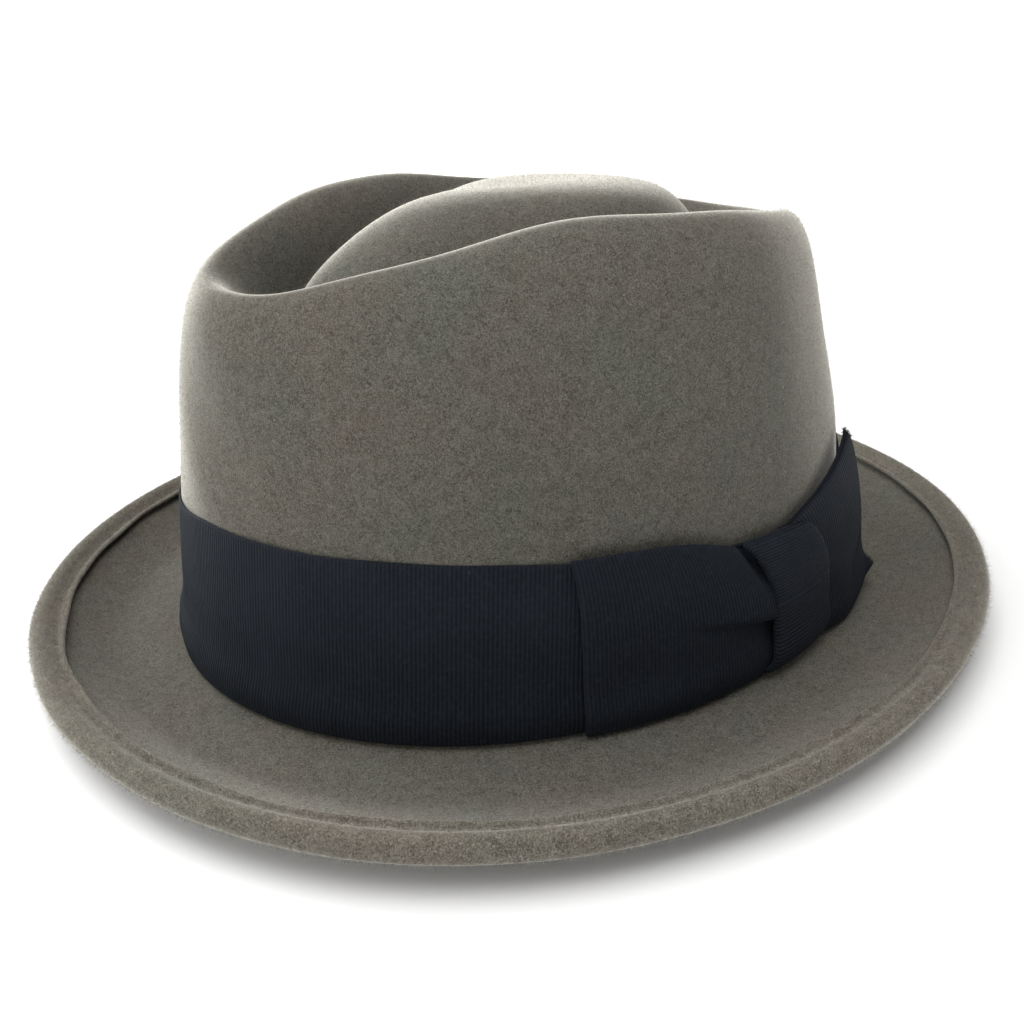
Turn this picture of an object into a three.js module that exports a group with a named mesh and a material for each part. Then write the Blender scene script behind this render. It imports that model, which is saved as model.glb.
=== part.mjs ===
// A short-brimmed felt hat with a teardrop crown, a wide ribbon band and a flat side bow.
// Millimetres, +Z up. The front of the hat is at -Y and the wearer's left side is at +X.
// The origin is the middle of the brim's underside, which lies on the table at z = 0.

import * as THREE from 'three';

// Driving dimensions
const HEAD_HALF_WIDTH = 88.4;
const HEAD_HALF_LENGTH = 103.2;
const HEAD_FORWARD = 2.2;
const FELT = 2;
const BRIM_TOP = 2;
const RIBBON_HEIGHT = 44;
const RIBBON_FOOT = 3.4;
const RIBBON_THICKNESS = 1;
const GAP = 0.35;
const SIDES = 56;

// The ribbon's top edge comes down by drop, fading over spread degrees about turn: once where the
// knot draws it in, and once by the front, where the ribbon lies a little lower.
const DIPS = [
  { turn: 97, drop: 9, spread: 17 },
  { turn: -20, drop: 4.5, spread: 18 },
];

// Values down a row of a table stand at the front, the front quarter, the side, the back
// quarter and the back of the hat. The two sides are alike.
const EVEN = [1, 1, 1, 1, 1];
const NONE = [0, 0, 0, 0, 0];
const same = (value) => EVEN.map(() => value);

// Width of the brim from the head oval out to its rim, and the rim's height above the table.
// The brim rises from bend, a share of the way out, and reaches the folded edge at turn.
const BRIM_WIDTH = [37.8, 41.4, 42, 41.4, 42.2];
const RIM_HEIGHT = [13, 12.6, 12.6, 12.6, 11.6];
const BEND_SHARE = 0.79;
const BEND_HEIGHT = 4.6;
const TURN_INSET = 8.8;
const TURN_RISE = 0.61;
const turn = BRIM_WIDTH.map((width) => width - TURN_INSET);
const turnHeight = RIM_HEIGHT.map((height) => TURN_RISE * height);
const bend = turn.map((out) => BEND_SHARE * out);

// Levels from the middle of the crown, down its wall and out along the brim to its edge.
// reach: distance from the axis as a share of the head oval. out: millimetres beyond that.
// back: shift of the whole level towards the back. rings: mesh rings for each level.
const LEVELS = [
  { name: 'centre', reach: NONE, out: NONE, height: same(114.5), back: -2, rings: 1 },
  { name: 'top', reach: [0.26, 0.19, 0.18, 0.23, 0.26], out: NONE, height: same(114.5), back: -2,
    rings: 1 },
  { name: 'island', reach: [0.52, 0.37, 0.345, 0.455, 0.5], out: NONE,
    height: [100.5, 103.5, 109.5, 113.5, 114], back: -2, rings: 2 },
  { name: 'flank', reach: [0.62, 0.45, 0.43, 0.545, 0.61], out: NONE,
    height: [89.5, 93, 95.5, 96, 94], back: -1, rings: 2 },
  { name: 'moat', reach: [0.675, 0.505, 0.49, 0.6, 0.66], out: NONE,
    height: [78, 82, 84, 80, 76], back: 0, rings: 2 },
  { name: 'inner', reach: [0.735, 0.57, 0.555, 0.65, 0.715], out: NONE,
    height: [91, 100.5, 104, 98, 92], back: 1, rings: 2 },
  { name: 'ridge', reach: [0.835, 0.672, 0.66, 0.733, 0.803], out: NONE,
    height: [103, 112.5, 116.3, 108.8, 103.2], back: 2.5, rings: 2 },
  { name: 'shoulder', reach: [0.903, 0.823, 0.812, 0.821, 0.883], out: NONE,
    height: [94, 103.5, 107, 101, 95], back: 2.5, rings: 2 },
  { name: 'wall', reach: [0.944, 0.93, 0.908, 0.88, 0.915], out: NONE,
    height: [70.5, 74.5, 76, 73.5, 71], back: 3.5, rings: 1 },
  { name: 'band', reach: same(0.957), out: NONE, height: same(46), back: 2, rings: 1 },
  { name: 'skirt', reach: same(0.987), out: NONE, height: same(14), back: 0.5, rings: 1 },
  { name: 'foot', reach: EVEN, out: same(-1.4), height: same(2.8), back: 0, rings: 2 },
  { name: 'root', reach: EVEN, out: same(0.2), height: same(BRIM_TOP), back: 0, rings: 2 },
  { name: 'brim_inner', reach: EVEN, out: same(7), height: same(BRIM_TOP), back: 0, rings: 1 },
  { name: 'brim_middle', reach: EVEN, out: same(12.5), height: same(BRIM_TOP), back: 0, rings: 1 },
  { name: 'brim_outer', reach: EVEN, out: same(18), height: same(BRIM_TOP), back: 0, rings: 1 },
  { name: 'bend', reach: EVEN, out: bend, height: same(BEND_HEIGHT), back: 0, rings: 1 },
  { name: 'turn', reach: EVEN, out: turn, height: turnHeight, back: 0, rings: 1 },
];

// The edge, folded over on to the brim and sewn down: from under its cut lip, across its top and
// round the fold to the underside. inset: millimetres inside the rim. rise: share of its height.
const EDGE = [
  { name: 'lip_foot', inset: 7.4, rise: 0.67 },
  { name: 'lip', inset: 8.4, rise: 0.79 },
  { name: 'seam', inset: 6.7, rise: 0.81 },
  { name: 'welt', inset: 4.6, rise: 0.93 },
  { name: 'fold_top', inset: 2.5, rise: 1 },
  { name: 'fold_outside', inset: 0.8, rise: 0.935 },
  { name: 'outer_face', inset: 0, rise: 0.79 },
  { name: 'outer_low', inset: 0.6, rise: 0.61 },
  { name: 'curl_under', inset: 2.1, rise: 0.465 },
  { name: 'under', inset: 5, rise: 0.43 },
];

// The ribbon's bow lies on the band at the wearer's left. foot and head: degrees round from the
// front at the cloth's bottom and top edge, with belly more than their mean at mid height.
// bottom and top: heights of those edges. low and high: how far the cloth's back stands off the
// band there. thick: cloth thickness. swell: extra bulge of its face at mid height.
const LOOP = [
  { foot: 65.1, head: 62.3, belly: 0.4, bottom: 3.5, top: 46.6, low: 0.3, high: 0.3, thick: 1.4,
    swell: 0 },
  { foot: 66, head: 63.3, belly: 0.4, bottom: 3.4, top: 46.8, low: 0.3, high: 0.3, thick: 2.2,
    swell: 0 },
  { foot: 73, head: 70.5, belly: 0.8, bottom: 3.3, top: 46.4, low: 0.4, high: 0.4, thick: 2.2,
    swell: 0.2 },
  { foot: 81, head: 78, belly: 1.6, bottom: 3.3, top: 45.2, low: 0.5, high: 0.5, thick: 2.3,
    swell: 0.6 },
  { foot: 88, head: 83.8, belly: 2.6, bottom: 3.4, top: 42.4, low: 0.7, high: 0.7, thick: 2.5,
    swell: 0.9 },
  { foot: 92.7, head: 88, belly: 3.3, bottom: 3.8, top: 39.6, low: 0.9, high: 0.9, thick: 2.4,
    swell: 0.8 },
];
const KNOT = [
  { foot: 93, head: 88.3, belly: 3.3, bottom: 5, top: 39.8, low: 0.4, high: 0.4, thick: 3.6,
    swell: 0.6 },
  { foot: 94.3, head: 89.5, belly: 3.4, bottom: 4.5, top: 40.4, low: 0.4, high: 0.4, thick: 4.8,
    swell: 0.8 },
  { foot: 99.8, head: 94.4, belly: 3.9, bottom: 4.5, top: 40.4, low: 0.4, high: 0.4, thick: 5.2,
    swell: 0.9 },
  { foot: 105.3, head: 99.3, belly: 4.3, bottom: 4.5, top: 40.4, low: 0.4, high: 0.4, thick: 4.8,
    swell: 0.8 },
  { foot: 106.6, head: 100.5, belly: 4.4, bottom: 5, top: 39.8, low: 0.4, high: 0.4, thick: 3.6,
    swell: 0.6 },
];
const TAIL = [
  { foot: 106.9, head: 100.8, belly: 4.4, bottom: 4.2, top: 39.6, low: 2.2, high: 0.9, thick: 2.4,
    swell: 0.8 },
  { foot: 111, head: 106.5, belly: 3, bottom: 3.8, top: 43.6, low: 3, high: 0.8, thick: 2.2,
    swell: 0.9 },
  { foot: 116.5, head: 113.5, belly: 1.6, bottom: 3.8, top: 46.6, low: 4, high: 0.8, thick: 2,
    swell: 0.8 },
  { foot: 122, head: 119.8, belly: 0.6, bottom: 4.1, top: 48.4, low: 4.8, high: 0.8, thick: 2,
    swell: 0.5 },
  { foot: 127.4, head: 125, belly: 0, bottom: 4.8, top: 49.4, low: 5.2, high: 0.9, thick: 2,
    swell: 0.3 },
];
const CLOTH_POINTS = 6;

const MATERIALS = {
  felt: { color: 0x77736a, roughness: 0.95, metalness: 0 },
  ribbon: { color: 0x1d2127, roughness: 0.6, metalness: 0 },
};

// Cosine series round the hat through the five values of a table row.
function around(values) {
  const last = values.length - 1;
  const half = (index) => (index === 0 || index === last ? 0.5 : 1);
  const terms = values.map((unused, k) => {
    const sum = values.reduce((total, value, j) => (
      total + half(j) * value * Math.cos((Math.PI * j * k) / last)), 0);
    return (2 * half(k) * sum) / last;
  });
  return (angle) => terms.reduce((sum, term, k) => sum + term * Math.cos(k * angle), 0);
}

// A point on an oval: reach is a share of the head oval, out is millimetres beyond it.
function onOval(angle, reach, out, back, height) {
  return new THREE.Vector3(
    (HEAD_HALF_WIDTH * reach + out) * Math.sin(angle),
    back - HEAD_FORWARD - (HEAD_HALF_LENGTH * reach + out) * Math.cos(angle),
    height,
  );
}

const brimWidth = around(BRIM_WIDTH);
const rimHeight = around(RIM_HEIGHT);
const levels = LEVELS.map((level) => {
  const [reach, out, height] = [around(level.reach), around(level.out), around(level.height)];
  return (angle) => onOval(angle, reach(angle), out(angle), level.back, height(angle));
});

// The felt's outer face as a cubic B-spline through the levels, at u levels from the centre.
function skin(u, angle) {
  const span = Math.min(Math.floor(u), levels.length);
  const f = u - span;
  const weights = [
    (1 - f) ** 3,
    3 * f ** 3 - 6 * f ** 2 + 4,
    -3 * f ** 3 + 3 * f ** 2 + 3 * f + 1,
    f ** 3,
  ];
  const point = new THREE.Vector3();
  weights.forEach((weight, k) => {
    const index = THREE.MathUtils.clamp(span - 2 + k, 0, levels.length - 1);
    point.addScaledVector(levels[index](angle), weight / 6);
  });
  return point;
}

// The felt's inner face lies one thickness under the outer one, along its normal.
function lining(u, angle) {
  const small = 1e-3;
  const end = levels.length + 1;
  const along = skin(Math.min(u + small, end), angle).sub(skin(Math.min(u, end) - small, angle));
  const across = skin(u, angle + small).sub(skin(u, angle - small));
  const normal = along.cross(across).normalize();
  const point = skin(u, angle).addScaledVector(normal, -FELT);
  if (Math.abs(point.z) < small) point.z = 0;
  return point;
}

// Outward level direction of the head oval at an angle.
function outward(angle) {
  return new THREE.Vector3(
    Math.sin(angle) / HEAD_HALF_WIDTH, -Math.cos(angle) / HEAD_HALF_LENGTH, 0,
  ).normalize();
}

// The crown's wall at a height: the place on the skin, found by halving between shoulder and brim.
const levelOf = (name) => LEVELS.findIndex((level) => level.name === name) + 1;
const WALL_TOP = levelOf('shoulder');
const WALL_END = levelOf('brim_inner');
const HALVINGS = 40;
function wallAt(height, angle) {
  let [low, high] = [WALL_TOP, WALL_END];
  for (let step = 0; step < HALVINGS; step += 1) {
    const middle = (low + high) / 2;
    if (skin(middle, angle).z > height) low = middle;
    else high = middle;
  }
  return skin(low, angle);
}

// A point standing off the crown's wall behind the ribbon. Near the brim the straight wall above
// is carried on down, because a taut ribbon bridges the small fillet there.
const BRIDGE_LOW = 14;
const BRIDGE_HIGH = 30;
function offWall(angle, height, off) {
  if (height >= BRIDGE_LOW) return wallAt(height, angle).addScaledVector(outward(angle), off);
  const share = (height - BRIDGE_LOW) / (BRIDGE_HIGH - BRIDGE_LOW);
  return wallAt(BRIDGE_LOW, angle)
    .lerp(wallAt(BRIDGE_HIGH, angle), share)
    .addScaledVector(outward(angle), off);
}

// Joins closed loops of points, one after another, into one closed solid. Without endless, each
// end is closed by a strip of triangles across its loop.
function loft(loops, endless) {
  const count = loops[0].length;
  const triangles = [];
  const quad = (a, b, c, d) => triangles.push(a, b, c, a, c, d);
  const spans = endless ? loops.length : loops.length - 1;
  for (let i = 0; i < spans; i += 1) {
    const near = i * count;
    const far = ((i + 1) % loops.length) * count;
    for (let j = 0; j < count; j += 1) {
      const k = (j + 1) % count;
      quad(near + j, far + j, far + k, near + k);
    }
  }
  if (!endless) {
    const last = (loops.length - 1) * count;
    for (let j = 0; j < count / 2 - 1; j += 1) {
      const [k, l, m] = [j + 1, count - 2 - j, count - 1 - j];
      quad(j, k, l, m);
      quad(last + j, last + m, last + l, last + k);
    }
  }
  const geometry = new THREE.BufferGeometry();
  const positions = loops.flat().flatMap((point) => point.toArray());
  geometry.setAttribute('position', new THREE.Float32BufferAttribute(positions, 3));
  geometry.setIndex(triangles);
  geometry.computeVertexNormals();
  return geometry;
}

function mesh(name, geometry, finish) {
  const made = new THREE.Mesh(geometry, new THREE.MeshStandardMaterial(MATERIALS[finish]));
  made.name = name;
  return made;
}

function ring(pointAt) {
  return Array.from({ length: SIDES }, (unused, j) => pointAt((2 * Math.PI * j) / SIDES));
}

// Crown and brim: rings from the middle of the crown out to the rim, over it, and back inside.
function feltBody() {
  const stops = LEVELS.flatMap((level, i) => (
    Array.from({ length: level.rings }, (unused, k) => i + 1 + k / level.rings)));
  stops.push(levels.length + 1);
  const outer = stops.map((u) => ring((angle) => skin(u, angle)));
  const edge = EDGE.map(({ inset, rise }) => ring((angle) => (
    onOval(angle, 1, brimWidth(angle) - inset, 0, rise * rimHeight(angle)))));
  const inner = stops.map((u) => ring((angle) => lining(u, angle))).reverse();
  return mesh('felt_body', loft([...outer, ...edge, ...inner], false), 'felt');
}

// Degrees from one turn to another, the short way round.
const HALF_TURN = 180;
function turnFrom(start, end) {
  return THREE.MathUtils.euclideanModulo(end - start + HALF_TURN, 2 * HALF_TURN) - HALF_TURN;
}

// The ribbon round the foot of the crown, a thin wall that follows the felt.
function ribbonBand() {
  const shares = [0, 0.25, 0.5, 0.75, 1];
  const loops = ring((angle) => {
    const width = DIPS.reduce((rest, dip) => {
      const away = turnFrom(dip.turn, THREE.MathUtils.radToDeg(angle));
      return rest - dip.drop * Math.exp(-((away / dip.spread) ** 2));
    }, RIBBON_HEIGHT);
    const at = (share, off) => offWall(angle, RIBBON_FOOT + share * width, off);
    return [
      ...shares.map((share) => at(share, GAP + RIBBON_THICKNESS)),
      ...[...shares].reverse().map((share) => at(share, GAP)),
    ];
  });
  return mesh('ribbon_band', loft(loops, true), 'ribbon');
}

// Folded cloth lying on the band: a front and a back face through the stations of a table.
const arch = (share) => 4 * share * (1 - share);
function bowPiece(name, stations) {
  const band = GAP + RIBBON_THICKNESS;
  const shares = Array.from({ length: CLOTH_POINTS }, (unused, j) => j / (CLOTH_POINTS - 1));
  const loops = stations.map((station) => {
    const turnAt = (share) => (
      THREE.MathUtils.lerp(station.foot, station.head, share) + station.belly * arch(share));
    const at = (share, lift) => offWall(
      THREE.MathUtils.degToRad(turnAt(share)),
      THREE.MathUtils.lerp(station.bottom, station.top, share),
      band + THREE.MathUtils.lerp(station.low, station.high, share) + lift,
    );
    return [
      ...shares.map((share) => at(share, station.thick + station.swell * Math.sin(Math.PI * share))),
      ...[...shares].reverse().map((share) => at(share, 0)),
    ];
  });
  return mesh(name, loft(loops, false), 'ribbon');
}

const hat = new THREE.Group();
hat.add(
  feltBody(),
  ribbonBand(),
  bowPiece('bow_front_loop', LOOP),
  bowPiece('bow_knot', KNOT),
  bowPiece('bow_back_tail', TAIL),
);

export default hat;
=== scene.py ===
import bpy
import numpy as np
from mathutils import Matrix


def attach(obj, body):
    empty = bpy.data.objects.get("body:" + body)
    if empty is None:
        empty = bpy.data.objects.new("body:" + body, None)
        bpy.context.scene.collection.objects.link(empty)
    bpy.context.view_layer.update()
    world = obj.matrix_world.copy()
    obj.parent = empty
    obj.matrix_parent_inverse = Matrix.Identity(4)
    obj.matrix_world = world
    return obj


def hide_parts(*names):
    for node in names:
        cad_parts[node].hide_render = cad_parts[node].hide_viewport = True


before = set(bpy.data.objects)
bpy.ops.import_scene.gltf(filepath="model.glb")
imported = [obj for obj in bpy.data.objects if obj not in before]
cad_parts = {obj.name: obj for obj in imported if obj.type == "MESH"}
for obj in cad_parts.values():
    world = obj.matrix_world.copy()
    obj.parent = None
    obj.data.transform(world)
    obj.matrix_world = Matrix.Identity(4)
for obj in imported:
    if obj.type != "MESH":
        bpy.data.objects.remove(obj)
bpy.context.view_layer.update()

# A short-brimmed felt hat with a teardrop crease, a wide ribbon band and a flat side bow.
# Each section makes one piece, in the order in which the hat is put together. Lengths are worked
# out in millimetres, as a hat's maker gives them, and put into the meshes in metres.


# The hood: crown and brim are one piece of wool felt about 2 mm thick, steamed and blocked into
# a drop-shaped crease with a raised island, then brushed so that it is matt and softly furred.
# The brim lies on the table on a flat ring and rises to its folded edge.

HEAD_HALF_WIDTH, HEAD_HALF_LENGTH, HEAD_FORWARD = 88.4, 103.2, 2.2
FELT_THICKNESS = 2.0
BRIM_TOP = 2.0
EVEN, NONE = [1.0] * 5, [0.0] * 5

# Rows of five stand at the front, front quarter, side, back quarter and back of the hat.
BRIM_WIDTH = [37.8, 41.4, 42.0, 41.4, 42.2]
RIM_HEIGHT = [13.0, 12.6, 12.6, 12.6, 11.6]
TURN_INSET, TURN_RISE, BEND_SHARE, BEND_HEIGHT = 8.8, 0.61, 0.79, 4.6
TURN_OUT = [width - TURN_INSET for width in BRIM_WIDTH]


def same(value):
    """One value all round the hat."""
    return [float(value)] * 5


# Levels from the middle of the crown to the turn of the brim: reach from the axis as a share of
# the head oval, millimetres out beyond it, height above the table, and shift towards the back.
HOOD_LEVELS = [
    ("centre", NONE, NONE, same(114.5), -2),
    ("top", [0.26, 0.19, 0.18, 0.23, 0.26], NONE, same(114.5), -2),
    ("island", [0.52, 0.37, 0.345, 0.455, 0.5], NONE, [100.5, 103.5, 109.5, 113.5, 114], -2),
    ("flank", [0.62, 0.45, 0.43, 0.545, 0.61], NONE, [89.5, 93, 95.5, 96, 94], -1),
    ("moat", [0.675, 0.505, 0.49, 0.6, 0.66], NONE, [78, 82, 84, 80, 76], 0),
    ("inner", [0.735, 0.57, 0.555, 0.65, 0.715], NONE, [91, 100.5, 104, 98, 92], 1),
    ("ridge", [0.835, 0.672, 0.66, 0.733, 0.803], NONE, [103, 112.5, 116.3, 108.8, 103.2], 2.5),
    ("shoulder", [0.903, 0.823, 0.812, 0.821, 0.883], NONE, [94, 103.5, 107, 101, 95], 2.5),
    ("wall", [0.944, 0.93, 0.908, 0.88, 0.915], NONE, [70.5, 74.5, 76, 73.5, 71], 3.5),
    ("band", same(0.957), NONE, same(46), 2),
    ("skirt", same(0.987), NONE, same(14), 0.5),
    ("foot", EVEN, same(-1.4), same(2.8), 0),
    ("root", EVEN, same(0.2), same(BRIM_TOP), 0),
    ("brim_inner", EVEN, same(7), same(BRIM_TOP), 0),
    ("brim_middle", EVEN, same(12.5), same(BRIM_TOP), 0),
    ("brim_outer", EVEN, same(18), same(BRIM_TOP), 0),
    ("bend", EVEN, [BEND_SHARE * out for out in TURN_OUT], same(BEND_HEIGHT), 0),
    ("turn", EVEN, TURN_OUT, [TURN_RISE * height for height in RIM_HEIGHT], 0),
]
LEVEL_COUNT = len(HOOD_LEVELS)


def waves_round(values):
    """Five cosine terms through five values round the hat.

    The k-th term is half the sum over the five places j of the value times cos(pi j k / 4), with
    the first and last place, and the first and last term, counted by half.
    """
    place = np.arange(5)
    half = np.where((place == 0) | (place == 4), 0.5, 1.0)
    table = np.cos(np.pi * np.outer(place, place) / 4)
    return (np.asarray(values, float) * half) @ table * half / 2


def round_hat(values, angle):
    """The cosine terms summed at an angle from the front: term times cos(k angle) over k."""
    return np.cos(np.multiply.outer(angle, np.arange(5))) @ waves_round(values)


LEVEL_REACH = waves_round([level[1] for level in HOOD_LEVELS])
LEVEL_OUT = waves_round([level[2] for level in HOOD_LEVELS])
LEVEL_HEIGHT = waves_round([level[3] for level in HOOD_LEVELS])
LEVEL_BACK = np.array([level[4] for level in HOOD_LEVELS], float)


def on_oval(angle, reach, out, back, height):
    """A point of an oval: x is (half width times reach, plus out) sin, y the same with -cos."""
    x = (HEAD_HALF_WIDTH * reach + out) * np.sin(angle)
    y = back - HEAD_FORWARD - (HEAD_HALF_LENGTH * reach + out) * np.cos(angle)
    return np.stack(np.broadcast_arrays(x, y, height), -1)


def hood_face(place, angle):
    """The felt's outer face: a uniform cubic B-spline through the levels, the ends repeated.

    place counts levels from the centre, so the weights of the four nearest levels are the cubic
    B-spline's in its fraction, and angle turns round the hat.
    """
    place, angle = np.broadcast_arrays(np.asarray(place, float), np.asarray(angle, float))
    waves = np.cos(angle[..., None] * np.arange(5))
    span = np.minimum(np.floor(place), LEVEL_COUNT).astype(int)
    f = place - span
    weights = ((1 - f) ** 3, 3 * f ** 3 - 6 * f ** 2 + 4, -3 * f ** 3 + 3 * f ** 2 + 3 * f + 1, f ** 3)
    reach = out = height = back = 0
    for k, weight in enumerate(weights):
        level = np.clip(span - 2 + k, 0, LEVEL_COUNT - 1)
        reach = reach + weight / 6 * (LEVEL_REACH[level] * waves).sum(-1)
        out = out + weight / 6 * (LEVEL_OUT[level] * waves).sum(-1)
        height = height + weight / 6 * (LEVEL_HEIGHT[level] * waves).sum(-1)
        back = back + weight / 6 * LEVEL_BACK[level]
    return on_oval(angle, reach, out, back, height)


def unit(vectors):
    """Each vector divided by its length."""
    return vectors / np.maximum(np.linalg.norm(vectors, axis=-1, keepdims=True), 1e-12)


def hood_normal(place, angle):
    """Outward normal of the outer face: cross product of small steps along and round the hat."""
    step, end = 1e-3, LEVEL_COUNT + 1
    along = hood_face(np.minimum(place + step, end), angle)
    along = along - hood_face(np.maximum(np.minimum(place, end) - step, 0), angle)
    across = hood_face(place, angle + step) - hood_face(place, angle - step)
    return unit(np.cross(along, across))


# Steaming over a block leaves the felt slightly uneven: a sum of slow waves, less under the ribbon
# and none at the brim.
UNEVEN_HEIGHT = 0.16
UNEVEN_LENGTHS = (95, 70, 52, 41, 33, 27)
UNEVEN_START, UNEVEN_FULL = 18.0, 52.0


def unevenness(points):
    """Sum of sine waves in fixed random directions, faded in by height above the brim."""
    draw = np.random.default_rng(7)
    lift = 0
    for length in UNEVEN_LENGTHS:
        direction = unit(draw.normal(size=3))
        lift = lift + np.sin(2 * np.pi * (points @ direction) / length + draw.uniform(0, 2 * np.pi))
    fade = np.clip((points[..., 2] - UNEVEN_START) / (UNEVEN_FULL - UNEVEN_START), 0, 1)
    return (UNEVEN_HEIGHT * lift * fade ** 2 * (3 - 2 * fade))[..., None]


def put_in_scene(name, data):
    """A new object of a mesh, a lamp or a camera, linked to the scene."""
    made = bpy.data.objects.new(name, data)
    bpy.context.scene.collection.objects.link(made)
    return made


def surface_object(name, grid, wrap_rows=False, wrap_columns=True, poles=None, uv=None, ends=False):
    """A mesh of quads over a grid of points in millimetres, rows by columns, facing outwards.

    A wrapped direction joins its last line to its first. poles are two points that close the
    first and the last row with fans, and ends closes the first and last column with strips
    between opposite rows. uv is a grid of the rows' and columns' texture places.
    """
    rows, columns = grid.shape[:2]
    points = grid.reshape(-1, 3)
    i = np.arange(rows if wrap_rows else rows - 1)[:, None]
    j = np.arange(columns if wrap_columns else columns - 1)[None, :]
    near, far = i * columns, ((i + 1) % rows) * columns
    left, right = j, (j + 1) % columns
    faces = np.stack([near + left, far + left, far + right, near + right], -1).reshape(-1, 4).tolist()
    if poles is not None:
        first, last = len(points), len(points) + 1
        points = np.vstack([points, poles])
        round_once = np.arange(columns)
        following = (round_once + 1) % columns
        end = (rows - 1) * columns
        fan = np.stack([np.full(columns, first), round_once, following], -1)
        end_fan = np.stack([np.full(columns, last), end + following, end + round_once], -1)
        faces += fan.tolist() + end_fan.tolist()
    if ends:
        near, far = np.arange(rows // 2 - 1), np.arange(1, rows // 2)
        strip = np.stack([near, rows - 1 - near, rows - 1 - far, far], -1) * columns
        faces += strip[:, ::-1].tolist() + (strip + columns - 1).tolist()
    mesh = bpy.data.meshes.new(name)
    mesh.from_pydata((points * 0.001).tolist(), [], faces)
    if uv is not None:
        layer = mesh.uv_layers.new(name="cloth")
        corners = np.empty(len(mesh.loops), np.int32)
        mesh.loops.foreach_get("vertex_index", corners)
        places = uv.reshape(-1, 2)[corners].astype(np.float32)
        layer.data.foreach_set("uv", places.ravel())
    mesh.polygons.foreach_set("use_smooth", np.ones(len(mesh.polygons), bool))
    mesh.update()
    return put_in_scene(name, mesh)


# Rows of the hood's outer face between two levels, closest where the crease is tight.
HOOD_COLUMNS = 360
HOOD_ROWS = ((0.35, 2, 7), (2, 10, 80), (10, 12, 12), (12, 15, 20), (15, LEVEL_COUNT + 1, 26))
LINING_STEP, FLAT_ON_TABLE = 3, 0.002
EDGE_INSET, EDGE_RISE = 5.2, (0.69, 0.56)

round_angles = 2 * np.pi * np.arange(HOOD_COLUMNS) / HOOD_COLUMNS
places = np.concatenate([np.linspace(start, end, count, endpoint=False)
                         for start, end, count in HOOD_ROWS] + [[LEVEL_COUNT + 1]])
outer = hood_face(places[:, None], round_angles[None, :])
lift = hood_normal(places[:, None], round_angles[None, :])
uneven = unevenness(outer)
lining = outer - lift * FELT_THICKNESS
lining[np.abs(lining[..., 2]) < FLAT_ON_TABLE, 2] = 0
inside_edge = [on_oval(round_angles, 1, round_hat(BRIM_WIDTH, round_angles) - EDGE_INSET, 0,
                       rise * round_hat(RIM_HEIGHT, round_angles)) for rise in EDGE_RISE]
lining_rows = (lining + lift * uneven)[::-1]
lining_rows = np.concatenate([lining_rows[:-1:LINING_STEP], lining_rows[-1:]])
hood_grid = np.concatenate([outer + lift * uneven, inside_edge, lining_rows])
crown_middle = hood_face(0, 0)
hood = surface_object("felt_hood", hood_grid,
                      poles=[crown_middle, crown_middle - (0, 0, FELT_THICKNESS)])


def feed(tree, node, sources):
    """Each named input of a node gets a link from another node's output, or a value."""
    for key, source in sources.items():
        if isinstance(source, bpy.types.NodeSocket):
            tree.links.new(source, node.inputs[key])
        else:
            node.inputs[key].default_value = source


def add(tree, kind, sources=None, **settings):
    """A new node with its settings, then what its inputs are fed with."""
    node = tree.nodes.new(kind)
    for key, value in settings.items():
        setattr(node, key, value)
    feed(tree, node, sources or {})
    return node


def new_group(name, inputs, outputs):
    """A shader node group with named sockets, and its two ends."""
    tree = bpy.data.node_groups.new(name, "ShaderNodeTree")
    for title, kind in inputs:
        tree.interface.new_socket(title, in_out="INPUT", socket_type="NodeSocket" + kind)
    for title, kind in outputs:
        tree.interface.new_socket(title, in_out="OUTPUT", socket_type="NodeSocket" + kind)
    return tree, tree.nodes.new("NodeGroupInput"), tree.nodes.new("NodeGroupOutput")


def grain(tree, place, scale, detail=2.0, distortion=0.0):
    """Noise between 0 and 1 at a number of lumps to the metre."""
    node = add(tree, "ShaderNodeTexNoise",
               {"Vector": place, "Scale": scale, "Detail": detail, "Distortion": distortion})
    return node.outputs["Fac"]


def spread(tree, value, low, high, to_low=0.0, to_high=1.0):
    """A value stretched from one range on to another, and held at its ends."""
    node = add(tree, "ShaderNodeMapRange", {"Value": value, "From Min": low, "From Max": high,
                                            "To Min": to_low, "To Max": to_high})
    return node.outputs["Result"]


def blend(tree, share, first, second):
    """Two colours mixed by a share."""
    return add(tree, "ShaderNodeMix", {0: share, 6: first, 7: second}, data_type="RGBA").outputs[2]


def reckon(tree, operation, first, second):
    """One sum of two values."""
    return add(tree, "ShaderNodeMath", {0: first, 1: second}, operation=operation).outputs[0]


# Brushed felt: a tangle of fibres of slightly different colours, in clouds a few millimetres to
# a few centimetres across. Each layer of noise has so many lumps to the metre.
CLOUD_LUMPS, MOTTLE_LUMPS, FIBRE_LUMPS, STRAND_LUMPS = 42, 330, 1150, 760
FINE_LUMPS, FLECK_LUMPS = 3600, 1250
WARM_WOOL, COOL_WOOL = (0.106, 0.081, 0.064, 1), (0.075, 0.085, 0.066, 1)
# The second colour on the next line is no colour of the wool but a painted sheen, which felt_finish mixes in
# where the felt is seen along its surface.
DARK_WOOL, PAINTED_SHEEN_TONE = (0.022, 0.02, 0.016, 1), (0.74, 0.71, 0.63, 1)
FELT_RELIEF = 0.0003

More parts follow.
